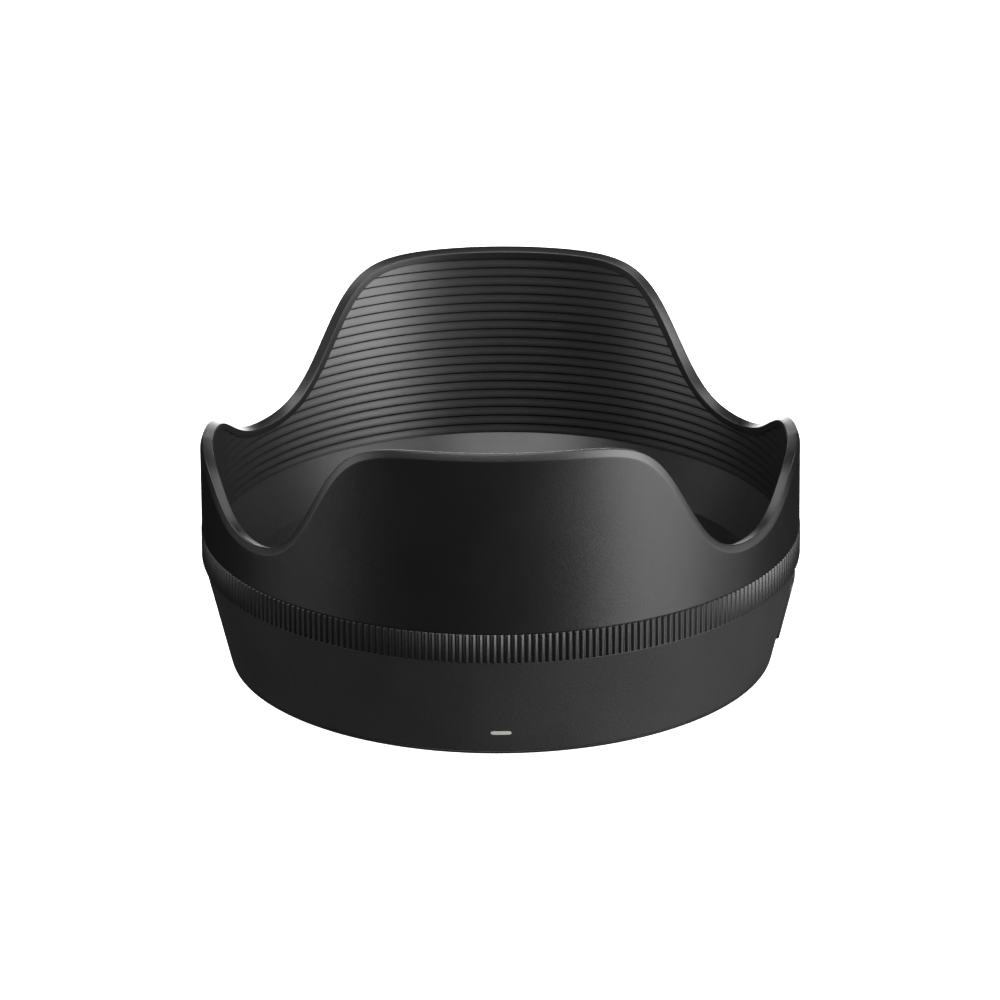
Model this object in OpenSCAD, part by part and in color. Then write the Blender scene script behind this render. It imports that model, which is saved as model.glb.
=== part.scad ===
// Locking petal lens hood. The origin is at the centre of its base, with +Z towards the petals.
// The two tall petals face -Y and +Y, the two low ones face -X and +X. The latch is at +X.

/* [Shell] */
// Outer radius of the shell above the knurled ring
shell_r = 49.0; // [48.8:0.1:49.4]
// Wall thickness of the petals
wall = 2.1; // [1.9:0.1:2.3]
// Height of the tall petals above the base
petal_top = 52.9; // [51:0.1:53.4]
// Height of the low side petals above the base
side_top = 37.6; // [35:0.1:39]
// Height of the four notches between the petals
notch_z = 29.1; // [28:0.1:31]
// Angle from a tall petal's middle to the steepest point of its edge, in degrees
tall_edge_angle = 37.6; // [34:0.1:40]
// How gradual a tall petal's edge is, in degrees
tall_edge_softness = 4.2; // [3.5:0.1:4.8]
// Angle from a tall petal's middle to the steepest point of a low petal's edge
low_edge_angle = 69.6; // [68:0.1:73]
// How gradual a low petal's edge is, in degrees
low_edge_softness = 4.5; // [4:0.1:5]
// Distance of the rim's ridge in from the outer wall
ridge_inset = 0.43; // [0.3:0.01:0.6]
// Height of the bevel outside the ridge
bevel_h = 1.24; // [0.8:0.01:1.5]
// How far the rim falls from its ridge to its inner edge
rim_fall = 0.53; // [0.3:0.01:0.8]

/* [Light baffles] */
// Number of baffle ribs inside the shell
rib_count = 20; // [16:1:20]
// Height of one baffle rib
rib_pitch = 1.56; // [1.4:0.01:1.56]
// How far each rib's lip stands in from the root of its face
rib_depth = 0.35; // [0.2:0.01:0.5]
// Height of the lowest rib above the base
ribs_z = 20.0; // [19.8:0.1:20.4]

/* [Grip] */
// Outer radius of the grip sleeve, carried down to the base
base_r = 44.6; // [44.4:0.1:44.8]
// Growth of the grip's radius for each millimetre of height
grip_slope = 0.2417; // [0.235:0.001:0.25]
// Thickness of the rubber sleeve
sleeve_t = 0.8; // [0.7:0.05:0.9]
// Height of the knurled ring's lower edge
knurl_z = 17.4; // [17:0.1:17.8]
// Height of the knurled ring
knurl_h = 4.9; // [4.5:0.1:5.2]
// Number of ridges round the knurled ring
knurl_count = 280; // [240:4:300]
// Depth of the knurled ring's grooves
knurl_depth = 0.35; // [0.2:0.01:0.5]

/* [Bayonet] */
// Radius of the pilot bore that goes over the lens barrel
bore_r = 42.2; // [42:0.1:42.3]
// Wall thickness of the bayonet ring at the pilot bore
ring_t = 1.0; // [0.9:0.05:1.05]
// Height of the pilot bore, the lowest part of the ring
pilot_h = 4.0; // [3.5:0.1:4]
// How much wider the ring is above the pilot bore, on the radius
relief = 0.45; // [0.45:0.05:0.5]
// Thickness of the ring's flange under the sleeve
flange_t = 0.45; // [0.4:0.05:0.6]
// How far the three lugs reach in from the bore
lug_reach = 0.7; // [0.6:0.1:0.9]
// Width of a lug round the bore, in degrees
lug_span = 36; // [24:1:36]

/* [Latch] */
// Width of the release button
button_w = 13.0; // [12:0.1:13]
// Height of the release button
button_h = 10.6; // [10:0.1:10.8]
// Travel of the release button
button_travel = 0.8; // [0.6:0.1:0.8]
// Distance from the button's centre line to the latch pivot
latch_arm = 8.0; // [7.8:0.1:8.2]

/* [Hidden] */
$fn = 96;

black_plastic = [0.085, 0.085, 0.09];
knurl_black = [0.12, 0.12, 0.125];
rubber_black = [0.13, 0.135, 0.14];
mark_white = [0.79, 0.8, 0.77];
steel = [0.62, 0.63, 0.65];
cover_black = [0.16, 0.16, 0.17];

eps = 0.01;
over = 1.0;                                // how far a cutting shape runs past what it cuts
overlap = 0.05;                            // how far two joined shapes run into each other
gap = 0.15;                                // clearance round the moving pieces
ring_r = bore_r + ring_t;                  // outside of the bayonet ring
relief_r = bore_r + relief;                // inside of the ring above the pilot bore
ring_top = 12.5;
rib_underside = 0.12;                      // height of the step under each lip
wall_in = shell_r - wall;                  // inside of the petals
knurl_seat_depth = 1.1;
knurl_seat_r = shell_r - knurl_seat_depth;
knurl_top = knurl_z + knurl_h;
knurl_proud = 0.1;                         // how far the ridges stand out from the shell
knurl_crest_r = shell_r + knurl_proud;

// Outer radius of the sleeve and of the shell's core under it, at height z
function grip_r(z) = base_r + grip_slope * z;
function core_r(z) = grip_r(z) - sleeve_t;

// ---- Rim outline ----
// A soft step from 0 to 1, centred on x = 0
function soft_step(x) = 1 / (1 + exp(-x));
// Angle of a direction from the middle of the nearest tall petal, 0 to 90 degrees
function from_tall(a) = acos(abs(sin(a)));
// Height of the rim's ridge: the notch height, plus a soft step for each petal
function ridge_z(a) =
    notch_z
    + (petal_top - notch_z) * soft_step((tall_edge_angle - from_tall(a)) / tall_edge_softness)
    + (side_top - notch_z) * soft_step((from_tall(a) - low_edge_angle) / low_edge_softness);

rim_steps = 144;
ridge_r = shell_r - ridge_inset;
cut_in_r = wall_in - 3 * over;
cut_out_r = shell_r + over;
rim_slope = rim_fall / (ridge_r - wall_in);
bevel_slope = bevel_h / ridge_inset;
cut_top = petal_top + 5 * over;

// The five corners of the rim cutter's section in the direction a
function cutter_section(a) = [
    [cut_in_r, ridge_z(a) - (ridge_r - cut_in_r) * rim_slope],
    [ridge_r, ridge_z(a)],
    [cut_out_r, ridge_z(a) - (cut_out_r - ridge_r) * bevel_slope],
    [cut_out_r, cut_top],
    [cut_in_r, cut_top]
];

// Everything above the rim: one section carried round the axis along the outline
module rim_cutter() {
    corners = 5;
    points = [
        for (i = [0 : rim_steps - 1])
            for (p = cutter_section(i * 360 / rim_steps))
                [p[0] * cos(i * 360 / rim_steps), p[0] * sin(i * 360 / rim_steps), p[1]]
    ];
    faces = [
        for (i = [0 : rim_steps - 1])
            for (j = [0 : corners - 1])
                let (
                    a = i * corners + j,
                    b = i * corners + (j + 1) % corners,
                    c = ((i + 1) % rim_steps) * corners + (j + 1) % corners,
                    d = ((i + 1) % rim_steps) * corners + j
                )
                each [[a, b, c], [a, c, d]]
    ];
    polyhedron(points = points, faces = faces, convexity = 6);
}

// ---- Common shapes ----
// A block between two radii, two heights and two angles
module sector(r0, r1, z0, z1, a0, a1) {
    rotate([0, 0, a0])
        rotate_extrude(angle = a1 - a0)
            translate([r0, z0])
                square([r1 - r0, z1 - z0]);
}

// A flat band between two radii and two angles, less than 90 degrees apart
module arc_band(r0, r1, a0, a1) {
    intersection() {
        difference() {
            circle(r1);
            circle(r0);
        }
        polygon([[0, 0], 2 * r1 * [cos(a0), sin(a0)], 2 * r1 * [cos(a1), sin(a1)]]);
    }
}

// A sheath that follows the grip's cone, between two offsets from the sleeve's surface
module grip_sheath(inner, outer, z0, z1) {
    rotate_extrude()
        polygon([
            [grip_r(z0) + inner, z0],
            [grip_r(z0) + outer, z0],
            [grip_r(z1) + outer, z1],
            [grip_r(z1) + inner, z1]
        ]);
}

// A rounded rectangle in the plane across X, carried along X from x0 to x1
module rounded_bar_x(x0, x1, w, h, r) {
    translate([x0, 0, 0])
        rotate([90, 0, 90])
            linear_extrude(x1 - x0) {
                square([w, h - 2 * r], center = true);
                square([w - 2 * r, h], center = true);
                for (sx = [-1, 1], sy = [-1, 1])
                    translate([sx * (w / 2 - r), sy * (h / 2 - r)])
                        circle(r);
            }
}

// A cylinder that points outwards along the radius at the angle a and height z
module radial_cylinder(a, z, x0, x1, r0, r1) {
    rotate([0, 0, a])
        translate([x0, 0, z])
            rotate([0, 90, 0])
                cylinder(h = x1 - x0, r1 = r0, r2 = r1);
}

// A round-wire compression spring along +X from x0 to x1
module coil(x0, x1, coil_r, wire_r, turns) {
    sides = 8;
    per_turn = 16;
    count = turns * per_turn;
    points = [
        for (i = [0 : count])
            let (t = i / count, a = 360 * turns * t, x = x0 + wire_r + (x1 - x0 - 2 * wire_r) * t)
            for (k = [0 : sides - 1])
                let (b = 360 * k / sides, r = coil_r + wire_r * cos(b))
                [x + wire_r * sin(b), r * cos(a), r * sin(a)]
    ];
    skin = [
        for (i = [0 : count - 1])
            for (k = [0 : sides - 1])
                let (a = i * sides + k, b = i * sides + (k + 1) % sides)
                each [[a, b, b + sides], [a, b + sides, a + sides]]
    ];
    first_end = [[for (k = [sides - 1 : -1 : 0]) k]];
    last_end = [[for (k = [0 : sides - 1]) count * sides + k]];
    polyhedron(points = points, faces = concat(skin, first_end, last_end), convexity = 8);
}

// ---- Latch layout ----
pin_track_r = 44.4;                        // radius on which the pivot pin stands
pivot_a = -asin(latch_arm / pin_track_r);
pin_r = 0.5;
pin_z0 = 6.4;
pin_z1 = 14.2;
lever_z0 = 8.8;
lever_z1 = 11.2;
lever_t = 0.9;
lever_gap = 0.3;                           // above and below the lever
lever_swing = 1.25;                        // how far the tooth arm may swing out
arm_overlap = 1;                           // of the arms and the hub, in degrees
hub_r = 1.0;
pin_gap = 0.04;
tooth_arm_r = ring_r + gap;                // inside of the arm that carries the tooth
push_arm_r = 44.35;                        // inside of the arm under the button
push_arm_end = 2.5;
tooth_a0 = -25;
tooth_a1 = -22;
tooth_reach = 0.6;
tooth_tip_r = bore_r - tooth_reach;
tooth_end_gap = 1.2;                       // beyond the tooth arm's end, in degrees
tooth_slot_gap = 0.5;                      // beside the tooth in the cover, in degrees
pocket_r = tooth_arm_r + lever_t + lever_swing;
pocket_a0 = tooth_a0 - tooth_end_gap;
pocket_z0 = lever_z0 - lever_gap;
pocket_z1 = lever_z1 + lever_gap;

button_z = 8.4;                            // height of the button's middle
button_corner_r = 2.0;
button_skin = 1.0;
button_proud = 0.45;
shallow_x = 45.6;                          // floor of the button's pocket above the ring's seat
tab_z0 = 5.6;
tab_z1 = 8.0;
tab_x0 = 43.65;
tab_t = 0.6;
tab_gap = 0.1;
tab_reach = 0.8;
leg_w = 0.8;
leg_l = 2.2;
boss_w = 3.0;
boss_l = 1.6;
spring_y = 3.4;
spring_z = 5.7;
spring_r = 0.95;
wire_r = 0.13;
spring_turns = 4;
spring_well = 0.17;                        // how deep a spring's seat lies in the button's skin
well_gap = 0.15;
latch_well = 0.4;
latch_spring_r = 0.7;
latch_wire_r = 0.1;
latch_turns = 3;
end_gap = 0.02;                            // between a spring's end and its seat

cover_a0 = -32;
cover_a1 = 15;
cover_z0 = 4.3;
cover_seam = 0.06;
cover_screw_a = [-29.3, 12.5];
cover_screw_z = 8.2;
ring_screw_a = [45, 135, 225, 315];
ring_screw_z = 9.6;
screw_head_r = 1.1;
screw_r = 0.6;
head_x = relief_r + 0.05;                  // where a screw's head starts, just below the wall
head_t = 0.45;
screw_tip_x = bore_r + 2.5;
screw_tip_gap = 0.1;
slot_depth = 0.2;
slot_w = 0.25;
slot_l = 1.6;
lug_z0 = 5.0;
lug_z1 = 7.0;
lug_slope = 0.3;                           // height of the slopes above and below a lug
lug_root = 0.2;                            // how deep a lug is rooted in the ring
lug_a = [60, 180, 300];

mark_w = 3.4;
mark_h = 0.7;
mark_z = 4.0;
mark_depth = 0.2;
mark_proud = 0.02;
mark_under = 0.5;                          // how far the mark's bar starts below the mark

// ---- Screws and their holes ----
module screw(a, z) {
    difference() {
        union() {
            radial_cylinder(a, z, head_x, head_x + head_t, screw_head_r, screw_r);
            radial_cylinder(a, z, head_x + head_t - overlap, screw_tip_x, screw_r, screw_r);
        }
        rotate([0, 0, a])
            translate([head_x, 0, z])
                cube([2 * slot_depth, slot_w, slot_l], center = true);
    }
}

module screw_hole(a, z) {
    radial_cylinder(a, z, head_x, head_x + head_t, screw_head_r, screw_r);
    radial_cylinder(a, z, head_x + head_t - overlap, screw_tip_x + screw_tip_gap, screw_r, screw_r);
    radial_cylinder(a, z, bore_r - over, head_x + eps, screw_head_r, screw_head_r);
}

// ---- Petal shell ----
// One rib of the baffle, from its lip up: a face that leans outwards, then the underside of the next lip
function rib_points(z) = [
    [wall_in, z],
    [wall_in + rib_depth, z + rib_pitch - rib_underside]
];

shell_profile = concat(
    [
        [ring_r, flange_t],
        [ring_r, ring_top],
        [relief_r, ring_top],
        [wall_in + rib_depth, ribs_z - rib_underside]
    ],
    [for (i = [0 : rib_count - 1]) each rib_points(ribs_z + i * rib_pitch)],
    [
        [wall_in, ribs_z + rib_count * rib_pitch],
        [wall_in, petal_top + over],
        [shell_r, petal_top + over],
        [shell_r, knurl_top],
        [knurl_seat_r, knurl_top],
        [knurl_seat_r, knurl_z],
        [core_r(knurl_z), knurl_z],
        [core_r(flange_t), flange_t]
    ]
);

// The button's outline with its clearance, carried outwards from x0
module button_pocket(x0) {
    translate([0, 0, button_z])
        rounded_bar_x(x0, shell_r + over, button_w + 2 * gap, button_h + 2 * gap, button_corner_r + gap);
}

// The room that the button, the latch lever and their travel take in the core
module latch_room() {
    room_x = bore_r - over;
    tab_room = button_w / 2 + tab_reach + gap;
    intersection() {
        button_pocket(room_x);
        cylinder(h = ring_top - overlap, r = shell_r + over);
    }
    button_pocket(shallow_x);
    translate([room_x, -tab_room, tab_z0 - gap])
        cube([tab_x0 + tab_t + tab_gap - room_x, 2 * tab_room, tab_z1 - tab_z0 + 2 * gap]);
    sector(room_x, pocket_r, pocket_z0, pocket_z1, pocket_a0, push_arm_end + arm_overlap);
}

module petal_shell() {
    color(black_plastic)
        difference() {
            rotate_extrude()
                polygon(shell_profile);
            rim_cutter();
            latch_room();
            pivot_at()
                cylinder(h = pin_z1 - pin_z0, r = pin_r);
            for (a = cover_screw_a)
                screw_hole(a, cover_screw_z);
            for (a = ring_screw_a)
                screw_hole(a, ring_screw_z);
        }
}

// ---- Grip ----
module knurled_ring() {
    step = 360 / knurl_count;
    root_r = knurl_crest_r - knurl_depth;
    // Each ridge is a trapezoid: a flat crest, two sloping flanks and a flat root
    section = [
        for (i = [0 : knurl_count - 1])
            for (p = [[-0.22, knurl_crest_r], [0.22, knurl_crest_r], [0.32, root_r], [0.68, root_r]])
                [p[1] * cos((i + p[0]) * step), p[1] * sin((i + p[0]) * step)]
    ];
    color(knurl_black)
        translate([0, 0, knurl_z])
            linear_extrude(knurl_h)
                difference() {
                    polygon(section);
                    circle(knurl_seat_r, $fn = 720);
                }
}

module grip_sleeve() {
    color(rubber_black)
        difference() {
            grip_sheath(-sleeve_t, 0, flange_t, knurl_z);
            button_pocket(ring_r);
            mark_bar(grip_r(mark_z) - mark_depth - mark_under);
        }
}

// A rounded bar that runs out along -Y where the index mark lies
module mark_bar(start) {
    rotate([0, 0, -90])
        translate([0, 0, mark_z])
            rounded_bar_x(start, shell_r, mark_w, mark_h, mark_h / 2 - eps);
}

module index_mark() {
    color(mark_white)
        intersection() {
            mark_bar(grip_r(mark_z) - mark_depth - mark_under);
            grip_sheath(-mark_depth, mark_proud, mark_z - mark_h, mark_z + mark_h);
        }
}

// ---- Bayonet ring ----
module bayonet_ring() {
    color(black_plastic)
        difference() {
            union() {
                rotate_extrude()
                    polygon([
                        [bore_r, 0],
                        [base_r, 0],
                        [grip_r(flange_t), flange_t],
                        [ring_r, flange_t],
                        [ring_r, ring_top],
                        [relief_r, ring_top],
                        [relief_r, pilot_h],
                        [bore_r, pilot_h]
                    ]);
                for (a = lug_a)
                    rotate([0, 0, a - lug_span / 2])
                        rotate_extrude(angle = lug_span)
                            polygon([
                                [relief_r + lug_root, lug_z0 - lug_slope],
                                [bore_r - lug_reach, lug_z0],
                                [bore_r - lug_reach, lug_z1],
                                [relief_r + lug_root, lug_z1 + lug_slope]
                            ]);
            }
            sector(bore_r - over, ring_r + over, cover_z0, ring_top + over, cover_a0, cover_a1);
            for (a = ring_screw_a)
                screw_hole(a, ring_screw_z);
        }
}

module ring_screws() {
    color(steel)
        for (a = ring_screw_a)
            screw(a, ring_screw_z);
}

// ---- Latch ----
module pivot_at() {
    rotate([0, 0, pivot_a])
        translate([pin_track_r, 0, pin_z0])
            children();
}

module latch_cover() {
    seam_a = cover_seam / bore_r * 180 / PI;
    color(cover_black)
        difference() {
            sector(
                relief_r, ring_r, cover_z0 + cover_seam, ring_top - cover_seam,
                cover_a0 + seam_a, cover_a1 - seam_a
            );
            sector(
                bore_r - over, ring_r + over, pocket_z0, pocket_z1,
                tooth_a0 - tooth_slot_gap, tooth_a1 + tooth_slot_gap
            );
            for (a = cover_screw_a)
                screw_hole(a, cover_screw_z);
        }
}

module cover_screws() {
    color(steel)
        for (a = cover_screw_a)
            screw(a, cover_screw_z);
}

module release_button() {
    color(rubber_black)
        difference() {
            union() {
                // the visible cap, which follows the grip's cone
                intersection() {
                    translate([0, 0, button_z])
                        rounded_bar_x(ring_r, shell_r + over, button_w, button_h, button_corner_r);
                    grip_sheath(button_proud - button_skin, button_proud, flange_t, knurl_z);
                }
                // the boss that pushes the latch lever
                translate([push_arm_r + lever_t + gap, -boss_w / 2, lever_z0])
                    cube([boss_l, boss_w, lever_z1 - lever_z0]);
                // two legs with tabs that stop the button from falling out
                for (s = [-1, 1]) {
                    leg_y = s > 0 ? button_w / 2 - leg_w : -button_w / 2;
                    tab_y = s > 0 ? button_w / 2 - leg_w : -button_w / 2 - tab_reach;
                    translate([tab_x0, leg_y, tab_z0])
                        cube([leg_l, leg_w, tab_z1 - tab_z0]);
                    translate([tab_x0, tab_y, tab_z0])
                        cube([tab_t, leg_w + tab_reach, tab_z1 - tab_z0]);
                }
            }
            for (s = [-1, 1])
                translate([ring_r, s * spring_y, spring_z])
                    rotate([0, 90, 0])
                        cylinder(h = spring_seat_x() - ring_r, r = spring_r + wire_r + well_gap);
        }
}

// Where the button springs press on the bottoms of their wells
function spring_seat_x() = grip_r(spring_z) + button_proud - button_skin + spring_well;

module button_springs() {
    color(steel)
        for (s = [-1, 1])
            translate([0, s * spring_y, spring_z])
                coil(ring_r + end_gap, spring_seat_x() - end_gap, spring_r, wire_r, spring_turns);
}

// The lever seen along the optical axis: two curved arms on a hub, and the tooth
module lever_plan() {
    arc_band(tooth_arm_r, tooth_arm_r + lever_t, tooth_a0, pivot_a + arm_overlap);
    arc_band(push_arm_r, push_arm_r + lever_t, pivot_a - arm_overlap, push_arm_end);
    arc_band(tooth_tip_r, tooth_arm_r + lever_t, tooth_a0, tooth_a1);
    rotate(pivot_a)
        translate([pin_track_r, 0])
            circle(hub_r);
}

module latch_lever() {
    h = lever_z1 - lever_z0;
    color(cover_black)
        difference() {
            translate([0, 0, lever_z0])
                linear_extrude(h)
                    lever_plan();
            rotate([0, 0, pivot_a])
                translate([pin_track_r, 0, lever_z0 - over])
                    cylinder(h = h + 2 * over, r = pin_r + pin_gap);
            translate([ring_r, 0, (lever_z0 + lever_z1) / 2])
                rotate([0, 90, 0])
                    cylinder(h = push_arm_r + latch_well - ring_r, r = latch_spring_r + latch_wire_r + well_gap);
        }
}

module latch_pivot_pin() {
    color(steel)
        pivot_at()
            cylinder(h = pin_z1 - pin_z0, r = pin_r);
}

module latch_spring() {
    color(steel)
        translate([0, 0, (lever_z0 + lever_z1) / 2])
            coil(ring_r + end_gap, push_arm_r + latch_well - end_gap, latch_spring_r, latch_wire_r, latch_turns);
}

petal_shell();
knurled_ring();
grip_sleeve();
index_mark();
bayonet_ring();
ring_screws();
latch_cover();
cover_screws();
release_button();
button_springs();
latch_lever();
latch_pivot_pin();
latch_spring();
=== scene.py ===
import math
import bmesh
import bpy
import numpy as np
from mathutils import Matrix, Vector


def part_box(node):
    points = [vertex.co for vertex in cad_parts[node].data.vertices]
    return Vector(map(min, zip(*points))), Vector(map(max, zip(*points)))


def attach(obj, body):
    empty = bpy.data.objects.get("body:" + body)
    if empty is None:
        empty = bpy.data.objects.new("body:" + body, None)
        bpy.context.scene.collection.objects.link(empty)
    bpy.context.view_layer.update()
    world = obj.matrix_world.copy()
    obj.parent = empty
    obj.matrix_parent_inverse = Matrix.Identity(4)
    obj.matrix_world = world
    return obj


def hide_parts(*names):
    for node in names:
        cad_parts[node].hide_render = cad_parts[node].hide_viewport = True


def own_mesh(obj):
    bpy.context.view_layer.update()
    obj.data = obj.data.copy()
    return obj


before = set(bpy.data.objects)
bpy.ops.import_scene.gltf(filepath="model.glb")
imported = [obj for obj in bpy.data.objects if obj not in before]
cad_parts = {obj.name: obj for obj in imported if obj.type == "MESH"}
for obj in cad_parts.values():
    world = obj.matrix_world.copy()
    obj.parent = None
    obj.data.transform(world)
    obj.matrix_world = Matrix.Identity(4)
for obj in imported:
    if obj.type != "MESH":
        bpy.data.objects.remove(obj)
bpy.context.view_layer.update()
mm = 0.001
fullTurn = 2 * np.pi
print("frame loaded")


# an sRGB hex colour as linear RGBA
def hexColor(code):
    c = np.array([int(code[i:i + 2], 16) for i in (1, 3, 5)]) / 255
    linear = np.where(c <= 0.04045, c / 12.92, ((c + 0.055) / 1.055) ** 2.4)
    return (*linear.tolist(), 1.0)


# adds a node with its settings, its socket values and its links, which are (node, output) pairs
def addNode(tree, kind, settings=None, inputs=None, links=None):
    node = tree.nodes.new(kind)
    for key, value in (settings or {}).items():
        setattr(node, key, value)
    for key, value in (inputs or {}).items():
        node.inputs[key].default_value = value
    for key, (source, output) in (links or {}).items():
        tree.links.new(source.outputs[output], node.inputs[key])
    return node


# a row of points round the axis in metres: x = r sin(a), y = -r cos(a), so that angle 0 faces -Y
def ringRow(angle, radius, height):
    angle, radius, height = np.broadcast_arrays(angle, radius, height)
    return np.stack([radius * np.sin(angle), -radius * np.cos(angle), height], -1) * mm


# an angle brought between -pi and pi
def wrapped(angle):
    return (angle + np.pi) % fullTurn - np.pi


# the angle half way on to the next one round
def halfway(angle):
    return angle + (np.roll(angle, -1) - angle) % fullTurn / 2


# logistic step from 0 to 1
def softStep(x):
    return 1 / (1 + np.exp(-x))


# a polyline whose inner corners are cut by quadratic curves that start a cut's length from the corner
def roundedLine(points, cuts, steps):
    p = np.array(points, float)
    rows = [p[:1]]
    t = np.linspace(0, 1, steps + 1)[:, None]
    for before, corner, after, cut in zip(p[:-2], p[1:-1], p[2:], cuts):
        a = corner + (before - corner) / np.linalg.norm(before - corner) * cut
        b = corner + (after - corner) / np.linalg.norm(after - corner) * cut
        rows.append((1 - t) ** 2 * a + 2 * t * (1 - t) * corner + t ** 2 * b)
    rows.append(p[-1:])
    return np.concatenate(rows)


# quads between neighbouring rows of a (rows, columns) table of point numbers, whose columns wrap round
def gridQuads(index, skip=None, closeRows=False):
    below, above = (index, np.roll(index, -1, 0)) if closeRows else (index[:-1], index[1:])
    quads = np.stack([below, np.roll(below, -1, 1), np.roll(above, -1, 1), above], -1)
    return quads.reshape(-1, 4) if skip is None else quads[~skip]


# a fan that closes a ring of point numbers with one middle point
def fan(ring, middle):
    ends = np.full(len(ring), middle)
    return np.stack([ring, np.roll(ring, -1), ends, ends], -1)


# welds doubles, points faces outwards, shades smooth up to the sharp angle, then rides the piece
def finishMesh(name, mesh, material, body, replaced=(), sharp=35):
    weld = 1e-7
    bm = bmesh.new()
    bm.from_mesh(mesh)
    bmesh.ops.remove_doubles(bm, verts=bm.verts, dist=weld)
    bmesh.ops.dissolve_degenerate(bm, edges=bm.edges, dist=weld)
    bmesh.ops.recalc_face_normals(bm, faces=bm.faces)
    bm.to_mesh(mesh)
    bm.free()
    mesh.shade_smooth()
    mesh.set_sharp_from_angle(angle=math.radians(sharp))
    mesh.materials.clear()
    piece = bpy.data.objects.new(name, mesh)
    bpy.context.scene.collection.objects.link(piece)
    if body:
        mesh.materials.append(material)
        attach(piece, body)
    if replaced:
        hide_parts(*replaced)
    return piece


# points and quads become a closed mesh; a quad that names a point twice becomes a triangle or goes
def makePiece(name, points, quads, material, body, replaced=(), sharp=35):
    repeated = quads == np.roll(quads, -1, 1)
    whole = ~repeated.any(1)
    faces = quads[whole].tolist()
    for row, drop in zip(quads[~whole], repeated[~whole]):
        corners = row[~drop].tolist()
        if len(set(corners)) == len(corners) == 3:
            faces.append(corners)
    used, flat = np.unique(np.concatenate(faces), return_inverse=True)
    ends = np.cumsum([len(f) for f in faces])[:-1]
    mesh = bpy.data.meshes.new(name)
    mesh.from_pydata(np.asarray(points)[used], [], [f.tolist() for f in np.split(flat, ends)])
    return finishMesh(name, mesh, material, body, replaced, sharp)


# joins tools to a piece or cuts them from it; the tools are then removed
def combine(piece, tools, operation, sharp):
    for tool in tools:
        step = piece.modifiers.new("combine", "BOOLEAN")
        step.operation = operation
        step.solver = "EXACT"
        step.object = tool
    bpy.context.view_layer.update()
    piece.data = bpy.data.meshes.new_from_object(piece.evaluated_get(bpy.context.evaluated_depsgraph_get()))
    piece.modifiers.clear()
    for tool in tools:
        bpy.data.objects.remove(tool)
    piece.data.shade_smooth()
    piece.data.set_sharp_from_angle(angle=math.radians(sharp))


# a plain box between two corners in mm, as a tool for combine
def block(low, high):
    corner = np.array([[i & 1, i >> 1 & 1, i >> 2] for i in range(8)])
    points = (np.array(low) + (np.array(high) - low) * corner) * mm
    quads = np.array([[0, 1, 3, 2], [4, 5, 7, 6], [0, 1, 5, 4], [2, 3, 7, 6], [0, 2, 6, 4], [1, 3, 7, 5]])
    return makePiece("tool", points, quads, None, None)


# a profile of (distance, radius) pairs in mm, turned about a line that points out from the axis
def radialTool(profile, angle, y, z):
    sides = 32
    t = np.linspace(0, fullTurn, sides + 1)[:-1]
    rows = [np.stack([np.full_like(t, x), y + r * np.cos(t), z + r * np.sin(t)], -1) for x, r in profile]
    index = np.arange(len(rows) * sides).reshape(-1, sides)
    points = np.concatenate(rows) @ np.array(Matrix.Rotation(angle, 3, "Z")).T * mm
    return makePiece("tool", points, gridQuads(index), None, None)


# a copy of a CAD node with its flat faces merged and its edges softly rounded
def softCopy(node, name, material, body, edge):
    flat, sharp, weld = 0.6, 40, 2e-6
    bm = bmesh.new()
    bm.from_mesh(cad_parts[node].data)
    bmesh.ops.remove_doubles(bm, verts=bm.verts, dist=weld)
    bmesh.ops.dissolve_limit(bm, angle_limit=math.radians(flat), verts=bm.verts, edges=bm.edges)
    mesh = bpy.data.meshes.new(name)
    bm.to_mesh(mesh)
    bm.free()
    piece = finishMesh(name, mesh, material, body, (node,), sharp)
    bevel = piece.modifiers.new("soft edges", "BEVEL")
    bevel.width = edge * mm
    bevel.segments = 2
    bevel.limit_method = "ANGLE"
    bevel.angle_limit = math.radians(sharp)


# a spark-eroded mould leaves fine pits in plastic, which break up its gloss
# grain is the width of a pit and pit its depth in mm; cloud is how far the gloss wanders
def moulded(name, color, roughness, grain, pit, ior=1.5, mottling=0.12, cloud=0.06):
    material = bpy.data.materials.new(name)
    material.use_nodes = True
    tree = material.node_tree
    tree.nodes.clear()
    place = addNode(tree, "ShaderNodeTexCoord")
    pits = addNode(tree, "ShaderNodeTexNoise", None,
                   {"Scale": 1 / (2 * grain * mm), "Detail": 3.0, "Roughness": 0.62},
                   {"Vector": (place, "Object")})
    clouds = addNode(tree, "ShaderNodeTexNoise", None, {"Scale": 1 / (14 * mm), "Detail": 2.0},
                     {"Vector": (place, "Object")})
    dark = (*(c * (1 - mottling) for c in color[:3]), 1.0)
    light = (*(c * (1 + mottling) for c in color[:3]), 1.0)
    tone = addNode(tree, "ShaderNodeMix", {"data_type": "RGBA"}, {6: dark, 7: light}, {0: (pits, "Fac")})
    gloss = addNode(tree, "ShaderNodeMapRange", None,
                    {"From Min": 0.3, "From Max": 0.7,
                     "To Min": roughness * (1 - cloud), "To Max": roughness * (1 + cloud)},
                    {"Value": (clouds, "Fac")})
    relief = addNode(tree, "ShaderNodeBump", None, {"Distance": pit * mm}, {"Height": (pits, "Fac")})
    shader = addNode(tree, "ShaderNodeBsdfPrincipled", None, {"IOR": ior},
                     {"Base Color": (tone, 2), "Roughness": (gloss, "Result"),
                      "Normal": (relief, "Normal")})
    addNode(tree, "ShaderNodeOutputMaterial", None, None, {"Surface": (shader, "BSDF")})
    return material


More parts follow.
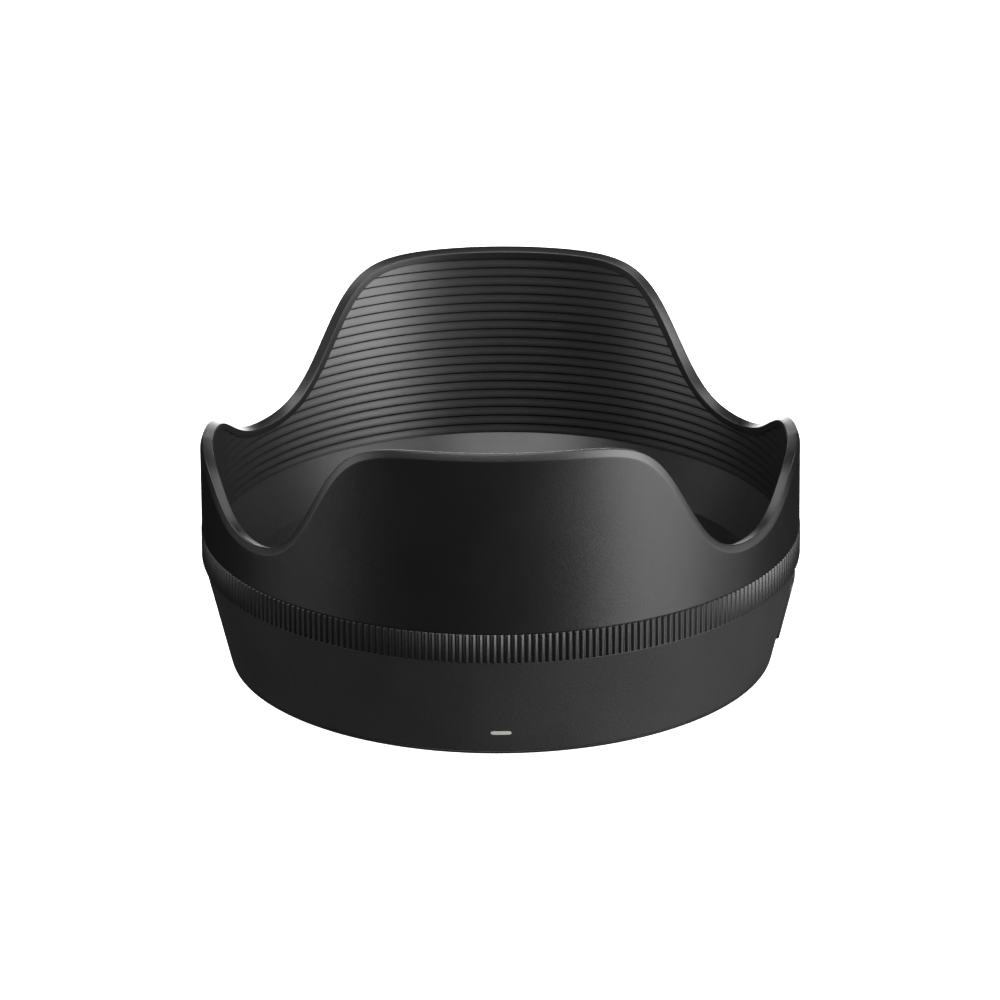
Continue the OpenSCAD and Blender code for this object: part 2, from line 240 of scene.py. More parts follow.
# steel wire and turned screws: fine lines from the die or the tool stretch the highlight
def drawnSteel(name, color, roughness):
    material = bpy.data.materials.new(name)
    material.use_nodes = True
    tree = material.node_tree
    tree.nodes.clear()
    place = addNode(tree, "ShaderNodeTexCoord")
    stretch = addNode(tree, "ShaderNodeMapping", None, {"Scale": (1.0, 1.0, 12.0)},
                      {"Vector": (place, "Object")})
    lines = addNode(tree, "ShaderNodeTexNoise", None, {"Scale": 1 / (0.4 * mm), "Detail": 2.0},
                    {"Vector": (stretch, "Vector")})
    gloss = addNode(tree, "ShaderNodeMapRange", None,
                    {"From Min": 0.3, "From Max": 0.7,
                     "To Min": roughness * 0.8, "To Max": roughness * 1.25},
                    {"Value": (lines, "Fac")})
    relief = addNode(tree, "ShaderNodeBump", None, {"Distance": 0.004 * mm}, {"Height": (lines, "Fac")})
    shader = addNode(tree, "ShaderNodeBsdfPrincipled", None, {"Base Color": color, "Metallic": 1.0},
                     {"Roughness": (gloss, "Result"), "Normal": (relief, "Normal")})
    addNode(tree, "ShaderNodeOutputMaterial", None, None, {"Surface": (shader, "BSDF")})
    return material


finishes = {
    # polycarbonate from a finely eroded tool: a soft, broad highlight with a faint grain
    "shell": moulded("moulded polycarbonate, satin black", hexColor("#0c0c0d"), 0.37, 0.13, 0.017),
    # the same plastic from a smooth cut tool, so the ridges look crisper
    "knurl": moulded("moulded polycarbonate, crisp black", hexColor("#0e0e0f"), 0.36, 0.12, 0.008),
    # nitrile rubber: almost no gloss, a coarse grain with paler specks
    "rubber": moulded("moulded nitrile rubber, matt black", hexColor("#161617"), 0.60, 0.15, 0.045,
                      ior=1.52, mottling=0.5),
    # glass-filled polyamide: closer grained and glossier
    "ring": moulded("glass-filled polyamide, semi-gloss black", hexColor("#1e1e1f"), 0.34, 0.10, 0.010),
    # acetal: waxy and even
    "cover": moulded("acetal, satin black", hexColor("#202021"), 0.42, 0.10, 0.008),
    "button": moulded("moulded ABS, satin black", hexColor("#222223"), 0.46, 0.11, 0.015),
    # epoxy ink: flat and chalky
    "mark": moulded("epoxy ink, pale grey", hexColor("#9d9f98"), 0.50, 0.10, 0.006, mottling=0.05),
    "steel": drawnSteel("drawn steel", hexColor("#b9babc"), 0.32),
}
print("materials made")


shell = {
    "petalTop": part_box("petal_shell")[1].z / mm,
    "outerR": 49.0, "wall": 2.1,
    "notch": 29.1, "sideTop": 37.6,                  # heights of the notches and of the low petals
    "tallEdge": 37.6, "tallSoftness": 4.2,           # where each petal's edge is steepest, in degrees
    "lowEdge": 69.6, "lowSoftness": 4.5,             # from a tall petal's middle, and how gradual it is
    "ridgeInset": 0.43, "bevel": 1.24, "rimFall": 0.53, "rimRun": 0.5,
    "rimCuts": (0.12, 0.26, 0.14),                   # how far each corner of the rim is softened
    "foot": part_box("knurled_ring")[1].z / mm,
    "footEdge": ((0.12, 0), (0.03, 0.04), (0, 0.14), (0, 0.3)),    # (inset, height) of the lower edge
    "knurlLow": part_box("knurled_ring")[0].z / mm,
    "seatTop": 12.5, "coneLowR": 42.65, "coneTopOut": 0.33, "coneTopDrop": 0.13,
    "ringSeatR": 43.2, "knurlSeatR": 47.9,
    "ribs": 20, "ribPitch": 1.56, "ribsLow": 20.0,
    "ribUp": (0, 0.07, 0.62, 1.15, 1.28, 1.47, 1.545),             # a rib's face: height above its lip
    "ribOut": (0, 0.006, 0.17, 0.33, 0.35, 0.28, 0.05),            # and how far it has moved into the wall
    "columns": 720, "wallRows": 4, "coneRows": 9,
}
latch = {
    "middle": math.radians(90),                      # the button faces +X
    "half": math.radians(9.7), "low": 2.95, "high": 12.45, "pocketTop": 13.85, "pocketR": 45.9,
    "pocketStep": 0.05,
    "leverFar": math.radians(-26.2), "leverLow": 8.5, "leverHigh": 11.5,
}
# the grip sleeve's cone, on which the index mark and the button's cap lie too
cone = {"lowR": 44.6, "slope": 0.2417, "thickness": 0.8}
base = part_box("grip_sleeve")[0].z / mm               # top of the bayonet ring's flange


# outer radius of the grip's cone at a height
def gripR(height):
    return cone["lowR"] + cone["slope"] * height


# height of the rim's ridge: the notch height plus a soft step up to each petal
def rimHeight(angle):
    s = shell
    fromTall = np.degrees(np.arccos(np.abs(np.cos(angle))))
    tall = (s["petalTop"] - s["notch"]) * softStep((s["tallEdge"] - fromTall) / s["tallSoftness"])
    low = (s["sideTop"] - s["notch"]) * softStep((fromTall - s["lowEdge"]) / s["lowSoftness"])
    return s["notch"] + tall + low


# the rim's line moved into the wall, square to itself on the unrolled wall: p + d (dz, -ds) / |(ds, dz)|
def offsetRim(angle, distance):
    tiny = 1e-4
    dz = (rimHeight(angle + tiny) - rimHeight(angle - tiny)) / 2
    ds = tiny * shell["outerR"]
    size = np.hypot(ds, dz)
    return angle + distance * dz / size / shell["outerR"], rimHeight(angle) - distance * ds / size


# angles with the nearest one moved onto each wanted angle
def snapped(angles, wanted):
    out = angles.copy()
    for w in wanted:
        out[np.argmin(np.abs(wrapped(angles - w)))] = w % fullTurn
    return out


# angles spaced evenly along the rim's own length, with one on each spot where a rib's lip meets the border
def rimColumns(borderWidth):
    s = shell
    samples = 20001
    fine = np.linspace(0, fullTurn, samples)
    pieces = np.hypot(np.diff(fine) * s["outerR"], np.diff(rimHeight(fine)))
    length = np.concatenate([[0], np.cumsum(pieces)])
    even = np.interp(np.linspace(0, length[-1], s["columns"] + 1)[:-1], length, fine)
    borderLine = offsetRim(fine, borderWidth)[1]
    lips = s["ribsLow"] + np.arange(1, s["ribs"]) * s["ribPitch"]
    side = borderLine[None] > lips[:, None]
    return snapped(even, fine[np.where(side[:, 1:] != side[:, :-1])[1]])


# walls round a window through two surfaces on one (levels, columns) grid; mask marks the window's cells
def windowWalls(inner, outer, mask):
    right = np.roll(np.arange(mask.shape[1]), -1)
    none = np.zeros((1, mask.shape[1]), bool)
    k, c = np.where(np.vstack([mask, none]) != np.vstack([none, mask]))
    level = np.stack([inner[k, c], inner[k, right[c]], outer[k, right[c]], outer[k, c]], -1)
    k, c = np.where(mask != np.roll(mask, 1, 1))
    upright = np.stack([inner[k, c], inner[k + 1, c], outer[k + 1, c], outer[k, c]], -1)
    return np.concatenate([level, upright])


# cells between levels and columns that the button and the lever need in the core
def latchMask(angles, levels):
    turn = halfway(wrapped(angles - latch["middle"]))
    height = (levels[1:] + levels[:-1])[:, None] / 2
    forButton = (np.abs(turn) < latch["half"]) & (height > latch["low"]) & (height < latch["high"])
    atLever = (height > latch["leverLow"]) & (height < latch["leverHigh"])
    return forButton | (turn > latch["leverFar"]) & (turn < 0) & atLever


# one section carried round the axis: foot, outer wall, bevel, ridge, top face, border, ribs, cone, core
def makeShell():
    s = shell
    innerR = s["outerR"] - s["wall"]
    borderWidth = s["petalTop"] - (s["ribsLow"] + s["ribs"] * s["ribPitch"])
    at = rimColumns(borderWidth)

    # rim section as (radius, distance from the ridge) with softened corners
    ridgeR = s["outerR"] - s["ridgeInset"]
    rim = roundedLine([(s["outerR"], s["bevel"] + s["rimRun"]), (s["outerR"], s["bevel"]), (ridgeR, 0),
                       (innerR, s["rimFall"]), (innerR, borderWidth)], s["rimCuts"], 4)
    wallA, wallTop = offsetRim(at, rim[0, 1])
    rows = [ringRow(wallA, s["outerR"] - inset, s["foot"] + up) for inset, up in s["footEdge"]]
    wallLow = s["foot"] + s["footEdge"][-1][1]
    for share in np.linspace(0, 1, s["wallRows"] + 2)[1:-1]:
        rows.append(ringRow(wallA, s["outerR"], wallLow + (wallTop - wallLow) * share))
    for r, d in rim:
        a, z = offsetRim(at, d)
        rows.append(ringRow(a, r, z))

    # each rib's face leans outwards from its lip up to a hollow under the next lip
    lips = s["ribsLow"] + np.arange(s["ribs"]) * s["ribPitch"]
    ribZ = (lips[:, None] + s["ribUp"]).ravel()
    ribR = innerR + np.tile(s["ribOut"], s["ribs"])
    innerA, borderZ = offsetRim(at, borderWidth)
    rows.append(ringRow(innerA, np.interp(borderZ, ribZ, ribR), borderZ))
    border = len(rows) - 1
    for z, r in zip(ribZ[::-1], ribR[::-1]):
        rows.append(ringRow(innerA, r, z))

    # a smooth cone runs down to the ring's seat, its columns turning evenly onto those of the core
    coreA = snapped(at, [latch["middle"] + x for x in (-latch["half"], latch["half"], latch["leverFar"])])
    coneTop = np.array([innerR + s["coneTopOut"], s["ribsLow"] - s["coneTopDrop"]])
    coneRun = np.array([s["coneLowR"], s["seatTop"]]) - coneTop
    for t in np.linspace(0, 1, s["coneRows"]):
        r, z = coneTop + coneRun * t
        rows.append(ringRow(innerA + wrapped(coreA - innerA) * t, r, z))

    # the hidden core: the bayonet ring's seat inside, and the grip's and the knurled ring's seats outside
    latchLevels = [latch[key] for key in ("low", "leverLow", "leverHigh", "high")]
    levels = np.array([base, *latchLevels, s["seatTop"]])
    nearly = 0.01
    innerStart = len(rows)
    for z in levels[::-1]:
        rows.append(ringRow(coreA, s["ringSeatR"], z))
    outerStart = len(rows)
    turn = np.abs(wrapped(coreA - latch["middle"]))
    for z in (*levels, latch["pocketTop"], latch["pocketTop"] + latch["pocketStep"], s["knurlLow"]):
        inPocket = latch["high"] - nearly < z < latch["pocketTop"] + nearly
        pocket = (turn < latch["half"] + 1e-6) & inPocket
        rows.append(ringRow(coreA, np.where(pocket, latch["pocketR"], gripR(z) - cone["thickness"]), z))
    rows.append(ringRow(coreA, s["knurlSeatR"], s["knurlLow"]))
    rows.append(ringRow(coreA, s["knurlSeatR"], s["foot"]))

    # rib points above the border's lower edge collapse onto it, so the ribs end on a line beside the rim
    count = s["columns"]
    index = np.arange(len(rows) * count).reshape(len(rows), count)
    ribs = index[border + 1:border + 1 + len(ribZ)]
    ribs[:] = np.where(ribZ[::-1, None] > borderZ - nearly, index[border], ribs)
    inner = index[innerStart:innerStart + len(levels)][::-1]
    outer = index[outerStart:outerStart + len(levels)]
    mask = latchMask(coreA, levels)
    skip = np.zeros(index.shape, bool)
    skip[innerStart:innerStart + len(levels) - 1] = mask[::-1]
    skip[outerStart:outerStart + len(levels) - 1] = mask
    quads = np.concatenate([gridQuads(index, skip, True), windowWalls(inner, outer, mask)])
    return makePiece("petalShell", np.concatenate(rows), quads, finishes["shell"], "hood",
                     ("petal_shell",), sharp=30)


makeShell()
print("shell made")


knurl = {
    "count": 280, "depth": 0.27,
    "crestR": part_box("knurled_ring")[1].x / mm - 0.005,
    "low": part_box("knurled_ring")[0].z / mm, "high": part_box("knurled_ring")[1].z / mm,
    "toothAt": (-0.15, -0.11, 0.11, 0.15, 0.40, 0.44, 0.56, 0.60),   # along a tooth, in pitches
    "toothDrop": (0.06, 0, 0, 0.06, 0.94, 1, 1, 0.94),               # below its crest, in depths
    "lowCuts": ((0, 0.30), (0.05, 0.14), (0.16, 0)),                 # (height from the end, cut there)
    "highCuts": ((-0.12, 0), (-0.04, 0.10), (0, 0.25)),
}


# a ring whose radius repeats a rounded trapezoid tooth; both ends of the crests are chamfered
def makeKnurl():
    k = knurl
    angle = ((np.arange(k["count"])[:, None] + k["toothAt"]) * fullTurn / k["count"]).ravel()
    drop = np.tile(k["toothDrop"], k["count"]) * k["depth"]
    rows = [ringRow(angle, shell["knurlSeatR"], k["low"])]
    for end in ("low", "high"):
        for up, cut in k[end + "Cuts"]:
            rows.append(ringRow(angle, k["crestR"] - np.maximum(drop, cut), k[end] + up))
    rows.append(ringRow(angle, shell["knurlSeatR"], k["high"]))
    index = np.arange(len(rows) * len(angle)).reshape(len(rows), -1)
    return makePiece("knurledRing", np.concatenate(rows), gridQuads(index, None, True), finishes["knurl"],
                     "hood", ("knurled_ring",), sharp=28)


makeKnurl()
print("knurled ring made")


button = {
    "low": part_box("release_button")[0].z / mm, "high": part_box("release_button")[1].z / mm,
    "width": 13.0, "corner": 2.0, "proud": 0.45, "skin": 1.0, "edge": 0.3, "dish": 0.14,
    "gap": 0.15, "points": 96,
    "faceLoops": (0, 0.25, 0.5, 0.7, 0.85, 0.95), "backLoops": (1, 0.8, 0.4, 0),
    "bars": ((2.6, 0.55, 9.6), (1.3, 0.35, 4.5)),    # half-width, half-height and height of each ink bar
}
button["middle"] = (button["low"] + button["high"]) / 2
button["halfZ"] = (button["high"] - button["low"]) / 2
grip = {
    "high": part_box("grip_sleeve")[1].z / mm, "edge": 0.22, "topEdge": 0.12, "footCut": 0.3, "lip": 0.18,
    "patch": math.radians(14),                       # half-width of the stretch with the button's window
    "patchColumns": 32, "columns": 299, "levels": 12, "levelGap": 0.1,
    "outerLoops": (0.7, 0.4, 0.15), "innerLoop": 0.5,    # as shares of the way from the window outwards
}


# how far a ray from the centre runs inside a rounded rectangle, found by halving an interval
def boxReach(direction, halfY, halfZ, corner):
    low = np.zeros(len(direction))
    high = np.full(len(direction), 2 * (halfY + halfZ))
    for _ in range(40):
        t = (low + high) / 2
        q = np.abs(direction * t[:, None]) - [halfY - corner, halfZ - corner]
        inside = np.linalg.norm(np.maximum(q, 0), axis=1) + np.minimum(q.max(1), 0) < corner
        low, high = np.where(inside, t, low), np.where(inside, high, t)
    return low


# points of the grip's cone at sideways place y and height z, moved in by an inset: x = sqrt(r^2 - y^2)
def onCone(y, z, inset):
    return np.stack([np.sqrt((gripR(z) - inset) ** 2 - y ** 2), y, z], -1) * mm


# a conical band with rounded edges, closed at the button by loops that close in on its window
def makeSleeve():
    g, b, thickness = grip, button, cone["thickness"]
    low, high = base + g["edge"], g["high"] - g["topEdge"]
    between = np.linspace(low + g["levelGap"], high - g["levelGap"], g["levels"])
    levels = np.concatenate([[low], between, [high]])
    narrow = np.linspace(-g["patch"], g["patch"], g["patchColumns"] + 1)[:-1]
    wide = np.linspace(g["patch"], fullTurn - g["patch"], g["columns"] + 1)[:-1]
    around = np.concatenate([narrow, wide]) + latch["middle"]

    # section as (inset, height): up the inner wall, over the top edge, down the outer wall
    almost = 0.001
    topCut, bottomCut = g["topEdge"] - almost, g["edge"] - almost
    top = roundedLine([(g["edge"], g["high"]), (0, g["high"]), (0, high)], (topCut,), 3)[:-1]
    bottom = roundedLine([(0, low), (0, base), (g["footCut"], base)], (bottomCut,), 4)[1:]
    section = [(thickness, z) for z in levels] + [(thickness, g["high"])] + top.tolist()
    section += [(0, z) for z in levels[::-1]] + bottom.tolist() + [(thickness, base)]
    points = np.concatenate([ringRow(around, gripR(z) - inset, z) for inset, z in section])
    index = np.arange(len(points)).reshape(len(section), -1)
    outerStart = len(levels) + 1 + len(top)
    skip = np.zeros(index.shape, bool)
    skip[:len(levels) - 1, :len(narrow)] = True
    skip[outerStart:outerStart + len(levels) - 1, :len(narrow)] = True

    # point numbers round the patch's edge, from a (levels, columns) table with its lowest level first
    def patchEdge(table):
        m = len(narrow)
        return np.concatenate([table[0, :m], table[:-1, m], table[-1, m:0:-1], table[:0:-1, 0]])

    outer = patchEdge(index[outerStart:outerStart + len(levels)][::-1])
    side, height = points[outer, 1] / mm, points[outer, 2] / mm - b["middle"]
    far = np.hypot(side, height)
    direction = np.stack([side, height], -1) / far[:, None]
    reach = boxReach(direction, b["width"] / 2 + b["gap"], b["halfZ"] + b["gap"], b["corner"] + b["gap"])
    lip = roundedLine([(g["lip"], 0), (0, 0), (0, g["lip"])], (g["lip"] - almost,), 4)
    steps = [(reach + g["lip"] + (far - reach - g["lip"]) * share, 0) for share in g["outerLoops"]]
    steps += [(reach + away, inset) for away, inset in lip]
    steps += [(reach, thickness), (reach + (far - reach) * g["innerLoop"], thickness)]
    loops = [outer]
    for distance, inset in steps:
        loops.append(len(points) + np.arange(len(outer)))
        loop = onCone(direction[:, 0] * distance, b["middle"] + direction[:, 1] * distance, inset)
        points = np.concatenate([points, loop])
    loops.append(patchEdge(index[:len(levels)]))
    quads = np.concatenate([gridQuads(index, skip, True), gridQuads(np.array(loops))])
    return makePiece("gripSleeve", points, quads, finishes["rubber"], "hood", ("grip_sleeve",),
                     sharp=40)


ink = {
    # share of the way out to the bar's edge and height above the surface, from the underside to the middle
    "loops": ((1, -0.2), (1, -0.01), (0.95, 0.010), (0.85, 0.016), (0.4, 0.019), (0, 0.02), (0, -0.2)),
    "points": 48,
}


# a bar of ink with round ends and a slightly domed face, as loops that close in on its middle
def makeBar(name, halfW, halfH, middle, turn, surface, body, replaced=()):
    t = np.linspace(0, fullTurn, ink["points"] + 1)[:-1]
    direction = np.stack([np.cos(t), np.sin(t)], -1)
    reach = boxReach(direction, halfW, halfH, halfH * 0.999)
    points = []
    for share, proud in ink["loops"]:
        p = direction * (reach * share)[:, None]
        r = surface(middle + p[:, 1]) + proud
        points.append(np.stack([p[:, 0], -np.sqrt(r ** 2 - p[:, 0] ** 2), middle + p[:, 1]], -1))
    index = np.arange(len(ink["loops"]) * ink["points"]).reshape(-1, ink["points"])
    index[-2:] = index[-2:, :1]                      # the last two loops are single points
    points = np.concatenate(points) @ np.array(Matrix.Rotation(turn, 3, "Z")).T * mm
    quads = np.concatenate([gridQuads(index[:-1]), fan(index[0], index[-1, 0])])
    return makePiece(name, points, quads, finishes["mark"], body, replaced, sharp=50)


makeSleeve()
markLow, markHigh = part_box("index_mark")
halfH, middle = (markHigh.z - markLow.z) / 2 / mm, (markHigh.z + markLow.z) / 2 / mm
makeBar("indexMark", markHigh.x / mm, halfH, middle, 0, gripR, "hood", ("index_mark",))
print("grip made")


ring = {
    "boreR": 42.2, "reliefR": 42.65, "pilot": 4.0, "pilotStep": 0.1, "top": 12.5,
    "lugReach": 0.7, "lugHalf": math.radians(18), "lugs": [math.radians(90 + a) for a in (60, 180, 300)],
    "lugZ": (4.7, 4.8, 5, 5.1, 6.9, 7, 7.2, 7.3),    # heights across a lug
    "lugShare": (0, 0.15, 0.9, 1, 1, 0.9, 0.15, 0),  # the share of its reach it has there
    "lugFade": 0.024,                                # the angle over which a lug's end rises
    "aboveLugs": 8.5,
    "chamferHigh": 0.3, "chamferWide": 0.1,          # at the bore's mouth
    "footIn": (0.35, 0.02, 0.12),                    # how far the flange's corners lie inside the grip
    "footCuts": (0.08, 0.12, 0.08), "lastRow": 0.2,
    "coverFrom": math.radians(90 - 32), "coverTo": math.radians(90 + 15), "coverLow": 4.3,
    "screws": [math.radians(a) for a in (45, 135, 225, 315)], "screwZ": 9.6,
    "screwHole": [(41.7, 0), (41.7, 1.13), (42.71, 1.13), (43.15, 0.63), (44.9, 0.63), (44.9, 0)],
}


# the bore with three lugs that rise and fall smoothly, a flange, and a window for the latch cover
def makeRing():
    k = ring
    degrees = np.linspace(0, fullTurn, 361)[:-1]
    nearEnd = k["lugHalf"] + np.linspace(-0.03, 0.03, 9)
    ends = [a + side * x for a in k["lugs"] for side in (-1, 1) for x in nearEnd]
    around = np.unique(np.round(np.concatenate([degrees, np.mod(ends, fullTurn)]), 5))
    around = snapped(around, [k["coverFrom"], k["coverTo"]])
    off = np.min([np.abs(wrapped(around - a)) for a in k["lugs"]], axis=0)
    lug = np.clip((k["lugHalf"] + k["lugFade"] / 2 - off) / k["lugFade"], 0, 1)
    lug = lug * lug * (3 - 2 * lug)
    step = [k["pilot"], k["pilot"] + k["pilotStep"]]
    levels = [k["chamferHigh"], k["pilot"] / 2, *step, k["coverLow"], *k["lugZ"], k["aboveLugs"]]
    levels = np.array([*levels, k["top"] - k["lastRow"], k["top"]])
    rise = np.interp(levels, k["lugZ"], k["lugShare"])
    wall = np.interp(levels, step, [k["boreR"], k["reliefR"]])
    reach = k["lugReach"] + k["reliefR"] - k["boreR"]
    rows = [ringRow(around, w - reach * up * lug, z) for w, up, z in zip(wall, rise, levels)]
    rows += [ringRow(around, shell["ringSeatR"], max(z, base)) for z in levels[::-1]]
    foot = [(gripR(base) - inset, z) for inset, z in zip(k["footIn"], (base, base, 0))]
    foot += [(k["boreR"] + k["chamferWide"], 0), (k["boreR"], k["chamferHigh"])]
    foot = roundedLine(foot, k["footCuts"], 3)
    rows += [ringRow(around, r, z) for r, z in foot[:-1]]
    index = np.arange(len(rows) * len(around)).reshape(len(rows), -1)
    window = (halfway(around) > k["coverFrom"]) & (halfway(around) < k["coverTo"])
    n = len(levels)
    mask = np.zeros((n - 1, len(around)), bool)
    mask[np.argmax(levels == k["coverLow"]):] = window
    skip = np.zeros(index.shape, bool)
    skip[:n - 1] = mask
    skip[n - 1] = window
    skip[n:2 * n - 1] = mask[::-1]
    walls = windowWalls(index[:n], index[n:2 * n][::-1], mask)
    walls = walls[~np.isin(walls[:, :2], index[n - 1]).all(1)]    # the window is open at the ring's top
    quads = np.concatenate([gridQuads(index, skip, True), walls])
    piece = makePiece("bayonetRing", np.concatenate(rows), quads, finishes["ring"], "hood",
                      ("bayonet_ring",), sharp=30)
    holes = [radialTool(k["screwHole"], a, 0, k["screwZ"]) for a in k["screws"]]
    combine(piece, holes, "DIFFERENCE", sharp=30)


makeRing()
print("bayonet ring made")


under = {                                            # the button's hidden side, as in the CAD part
    "legX": (43.65, 45.85), "legZ": (5.6, 8.0), "legWidth": 0.8, "tabX": 44.25, "tabReach": 0.8,
    "boss": ((45.4, -1.5, 8.8), (47.0, 1.5, 11.2)),
    "wellY": 3.4, "wellZ": 5.7, "wellR": 1.23, "wellX": 45.6, "wellFrom": 43,
}


# a cap of rounded-rectangle loops on the grip's cone, with a shallow finger dish, legs, boss and wells
def makeButton():
    b, u = button, under
    t = np.linspace(0, fullTurn, b["points"] + 1)[:-1]
    direction = np.stack([np.cos(t), np.sin(t)], -1)
    reach = boxReach(direction, b["width"] / 2, b["halfZ"], b["corner"])
    edge = roundedLine([(-b["edge"] - 0.01, 0), (0, 0), (0, b["edge"])], (b["edge"],), 5)
    steps = [((reach - b["edge"]) * share, b["dish"] * (1 - share ** 2)) for share in b["faceLoops"]]
    steps += [(reach + away, inset) for away, inset in edge]
    steps += [(reach * share, b["skin"]) for share in b["backLoops"]]
    across, along = direction.T
    points = np.concatenate([onCone(across * d, b["middle"] + along * d, inset - b["proud"])
                             for d, inset in steps])
    index = np.arange(len(points)).reshape(len(steps), -1)
    index[0] = index[0, 0]
    index[-1] = index[-1, 0]
    piece = makePiece("releaseButton", points, gridQuads(index), finishes["button"], "button",
                      ("release_button",), sharp=40)
    half = b["width"] / 2
    spans = [(half * 0.999, half - u["legWidth"], u["legX"][1]),
             (half + u["tabReach"], half - u["legWidth"] / 2, u["tabX"])]
    tools = [block(*u["boss"])]
    for side in (-1, 1):
        for outerY, innerY, farX in spans:
            y = sorted((side * outerY, side * innerY))
            tools.append(block((u["legX"][0], y[0], u["legZ"][0]), (farX, y[1], u["legZ"][1])))
    combine(piece, tools, "UNION", sharp=40)
    well = [(u["wellFrom"], 0), (u["wellFrom"], u["wellR"]), (u["wellX"], u["wellR"]), (u["wellX"], 0)]
    wells = [radialTool(well, 0, side * u["wellY"], u["wellZ"]) for side in (-1, 1)]
    combine(piece, wells, "DIFFERENCE", sharp=40)


# the button's dished face along its centre line
def buttonFace(height):
    share = np.minimum(np.abs(height - button["middle"]) / button["halfZ"], 1)
    return gripR(height) + button["proud"] - button["dish"] * (1 - share ** 2)


makeButton()
for number, (halfW, halfH, middle) in enumerate(button["bars"]):
    makeBar(f"buttonBar{number}", halfW, halfH, middle, latch["middle"], buttonFace, "button")
softCopy("latch_cover", "latchCover", finishes["cover"], "hood", 0.06)
softCopy("latch_lever", "latchLever", finishes["cover"], "latch", 0.08)
softCopy("ring_screws", "ringScrews", finishes["steel"], "hood", 0.03)
softCopy("cover_screws", "coverScrews", finishes["steel"], "hood", 0.03)
softCopy("latch_pivot_pin", "latchPivotPin", finishes["steel"], "hood", 0.06)

springs = {
    "buttonSprings": {"node": "button_springs", "middles": [(3.4, 5.7), (-3.4, 5.7)], "coilR": 0.95,
                      "wireR": 0.13, "turns": 4, "spare": 0},
    "latchSpring": {"node": "latch_spring", "middles": [(0, 10.0)], "coilR": 0.7,
                    "wireR": 0.1, "turns": 3, "spare": 0.12},      # the lever's seat tilts as it rocks
}
wire = {
    "turnSteps": 28, "sides": 12,
    "endRise": 0.08, "endLength": 0.12,              # the close ends, as shares of the height and the wire
}


# a round wire carried along a helix about +X whose end turns lie close: x rises mostly between them
def makeSpring(name, node, middles, coilR, wireR, turns, spare):
    low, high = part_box(node)
    t = np.linspace(0, 1, turns * wire["turnSteps"] + 1)
    a = fullTurn * turns * t
    between = np.clip((t - wire["endLength"]) / (1 - 2 * wire["endLength"]), 0, 1)
    rise = wire["endRise"] * t + (1 - wire["endRise"]) * between
    x = low.x / mm + wireR + ((high.x - low.x) / mm - 2 * wireR) * rise
    b = np.linspace(0, fullTurn, wire["sides"] + 1)[:-1]
    points, quads = [], []
    for number, (y, z) in enumerate(middles):
        r = coilR + wireR * np.cos(b) * np.ones((len(t), 1))
        tube = np.stack([x[:, None] + wireR * np.sin(b) * np.ones_like(r),
                         y + r * np.cos(a)[:, None], z + r * np.sin(a)[:, None]], -1).reshape(-1, 3)
        tips = [[x[i], y + coilR * np.cos(a[i]), z + coilR * np.sin(a[i])] for i in (0, -1)]
        start = number * (len(tube) + 2)
        index = start + np.arange(len(tube)).reshape(len(t), -1)
        points += [tube, np.array(tips)]
        tip = start + len(tube)
        quads += [gridQuads(index), fan(index[0], tip), fan(index[-1], tip + 1)]
    piece = makePiece(name, np.concatenate(points) * mm, np.concatenate(quads), finishes["steel"], "hood",
                      (node,), sharp=60)
    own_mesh(piece)


for name, spring in springs.items():
    makeSpring(name, **spring)
print("latch made")


studio = {
    "target": (-0.09 * mm, 0, 25.98 * mm), "distance": 1.2690, "azimuth": 0.27, "elevation": 21.5,
    "roll": -0.46, "lens": 278.9, "sensor": 36,
    "floorHalf": 3.0, "floorDrop": 0.1 * mm, "floorGlow": 1.0, "roomGlow": 0.0,
    # azimuth from the camera's side, positive to its right, and elevation in degrees; then size and watts
    "boxDistance": 1.0,
    "lights": {
        "key": (57, 8, (0.74, 0.95), 21),            # tall, beside the table, and reaching below its top
        "rim": (90, 2, (0.4, 0.6), 2.8),
        "top": (0, 88, (1.0, 0.6), 8.5),
        "front": (-8, 43, (0.8, 0.4), 7.6),
        "backLeft": (-120, 45, (0.7, 0.4), 3.4),
        "backRight": (135, 45, (0.5, 0.4), 1.8),
        "back": (180, -6, (0.4, 0.5), 4),
        "fill": (-76, 3, (0.7, 0.6), 3.6),
    },
}


# the direction from the hood towards a place at an azimuth and elevation in degrees
def towards(azimuth, elevation):
    a, e = math.radians(azimuth), math.radians(elevation)
    return Vector((math.sin(a) * math.cos(e), -math.cos(a) * math.cos(e), math.sin(e)))


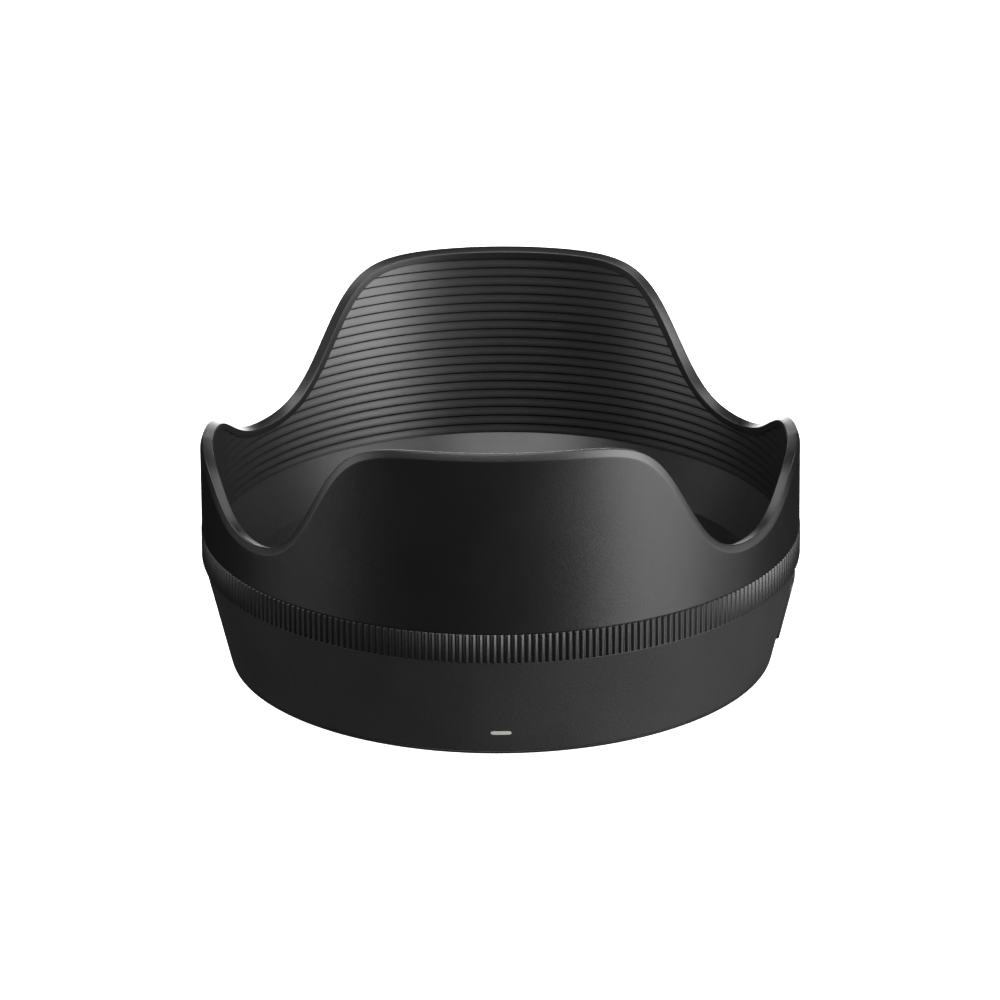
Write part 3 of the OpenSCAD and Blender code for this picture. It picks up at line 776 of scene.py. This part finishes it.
# a long lens that looks down at the hood from the index mark's side
def makeCamera():
    camera = bpy.data.cameras.new("camera")
    camera.lens = studio["lens"]
    camera.sensor_width = studio["sensor"]
    camera.clip_start = 0.01
    holder = bpy.data.objects.new("camera", camera)
    back = towards(studio["azimuth"], studio["elevation"])
    turn = (-back).to_track_quat("-Z", "Y").to_matrix().to_4x4()
    roll = Matrix.Rotation(math.radians(studio["roll"]), 4, "Z")
    place = Vector(studio["target"]) + back * studio["distance"]
    holder.matrix_world = Matrix.Translation(place) @ turn @ roll
    bpy.context.scene.collection.objects.link(holder)
    bpy.context.scene.camera = holder


# a softbox that faces the hood
def makeLight(name, azimuth, elevation, size, power):
    light = bpy.data.lights.new(name, "AREA")
    light.shape = "RECTANGLE"
    light.size, light.size_y = size
    light.energy = power
    holder = bpy.data.objects.new(name, light)
    back = towards(azimuth, elevation)
    holder.location = Vector(studio["target"]) + back * studio["boxDistance"]
    holder.rotation_euler = (-back).to_track_quat("-Z", "Y").to_euler()
    bpy.context.scene.collection.objects.link(holder)


# a white floor that lights nothing, and a room that is white to the camera and dark to the hood
def makeRoom():
    half, z = studio["floorHalf"], -studio["floorDrop"]
    mesh = bpy.data.meshes.new("floor")
    corners = [(-half, -half, z), (half, -half, z), (half, half, z), (-half, half, z)]
    mesh.from_pydata(corners, [], [(0, 1, 2, 3)])
    floor = bpy.data.objects.new("floor", mesh)
    bpy.context.scene.collection.objects.link(floor)
    paper = bpy.data.materials.new("matt white paper")
    paper.use_nodes = True
    whiteColor = hexColor("#ffffff")
    shader = paper.node_tree.nodes["Principled BSDF"]
    for key, value in {"Base Color": whiteColor, "Roughness": 0.9, "Emission Color": whiteColor,
                       "Emission Strength": studio["floorGlow"]}.items():
        shader.inputs[key].default_value = value
    mesh.materials.append(paper)
    floor.visible_glossy = False
    floor.visible_diffuse = False
    floor.visible_shadow = False
    world = bpy.data.worlds.new("room")
    bpy.context.scene.world = world
    world.use_nodes = True
    tree = world.node_tree
    tree.nodes.clear()
    ray = addNode(tree, "ShaderNodeLightPath")
    room, seen = (addNode(tree, "ShaderNodeBackground", None, {"Color": whiteColor, "Strength": strength})
                  for strength in (studio["roomGlow"], 1.0))
    mix = addNode(tree, "ShaderNodeMixShader", None, None,
                  {0: (ray, "Is Camera Ray"), 1: (room, 0), 2: (seen, 0)})
    addNode(tree, "ShaderNodeOutputWorld", None, None, {"Surface": (mix, 0)})
    bpy.context.scene.view_settings.view_transform = "Standard"


makeCamera()
makeRoom()
for name, light in studio["lights"].items():
    makeLight(name, *light)
print("studio made")
